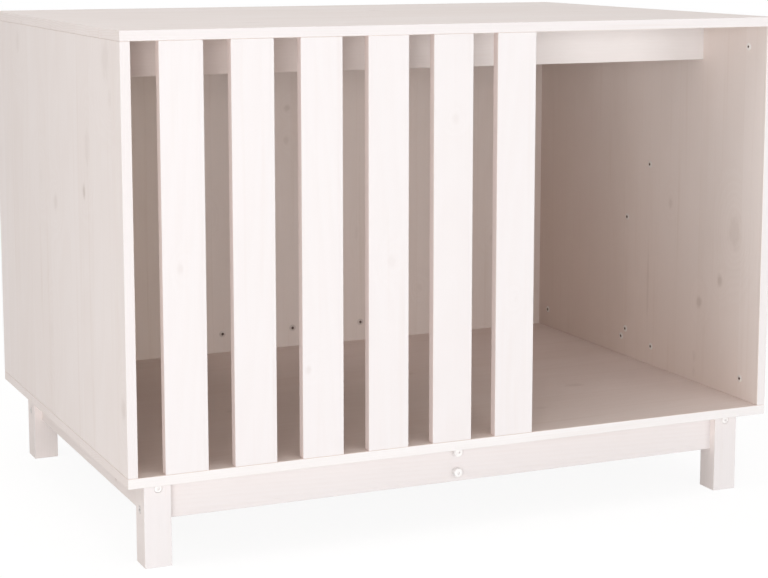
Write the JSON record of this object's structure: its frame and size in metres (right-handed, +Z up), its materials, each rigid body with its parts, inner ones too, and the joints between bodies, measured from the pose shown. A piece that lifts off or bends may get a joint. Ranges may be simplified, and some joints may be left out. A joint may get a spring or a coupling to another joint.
{
  "type": "dog house",
  "caption": "Open-fronted indoor dog house of white-stained pine boards on a low leg frame, with upright slats across part of the front and a doorway beside them.",
  "frame": {"origin": "on the ground, under the middle of the house", "axes": "+X to the right along the width, seen from the front, +Y towards the back, +Z up"},
  "size_m": [1, 0.7, 0.721],
  "materials": {
    "stained_panel": "white wood stain, matt, knots and grain showing through",
    "stained_floor": "white wood stain, matt",
    "stained_back": "white wood stain, matt",
    "stained_slat": "white wood stain, matt, small pale knots",
    "stained_rail": "white wood stain, matt",
    "stained_leg": "white wood stain, matt",
    "stained_apron": "white wood stain, matt",
    "white_bolt": "white painted steel, satin",
    "zinc_fitting": "bright zinc plated",
    "beech_dowel": "plain fluted beech"
  },
  "bodies": {
    "root": {"top_board_front": "stained_panel", "top_board_rear": "stained_panel", "floor_board_front": "stained_floor", "floor_board_rear": "stained_floor", "left_side_board_front": "stained_panel", "left_side_board_rear": "stained_panel", "right_side_board_front": "stained_panel", "right_side_board_rear": "stained_panel", "back_board_left": "stained_back", "back_board_centre": "stained_back", "back_board_right": "stained_back", "slat_1": "stained_slat", "slat_2": "stained_slat", "slat_3": "stained_slat", "slat_4": "stained_slat", "slat_5": "stained_slat", "slat_6": "stained_slat", "top_rail_front": "stained_rail", "top_rail_rear": "stained_rail", "front_left_leg": "stained_leg", "front_right_leg": "stained_leg", "rear_left_leg": "stained_leg", "rear_right_leg": "stained_leg", "front_apron": "stained_apron", "rear_apron": "stained_apron", "left_apron": "stained_apron", "right_apron": "stained_apron", "centre_bearer": "stained_apron", "leg_front_bolts": "white_bolt", "leg_side_bolts": "white_bolt", "leg_barrel_nuts": "zinc_fitting", "bearer_bolts": "white_bolt", "bearer_barrel_nuts": "zinc_fitting", "leg_dowels": "beech_dowel", "floor_screws": "zinc_fitting", "side_cam_locks": "zinc_fitting", "side_cam_studs": "zinc_fitting", "seam_cam_locks": "zinc_fitting", "seam_cam_studs": "zinc_fitting", "back_cam_locks": "zinc_fitting", "back_cam_studs": "zinc_fitting", "slat_dowels": "beech_dowel", "rail_dowels": "beech_dowel", "seam_dowels": "beech_dowel"}
  },
  "joints": []
}
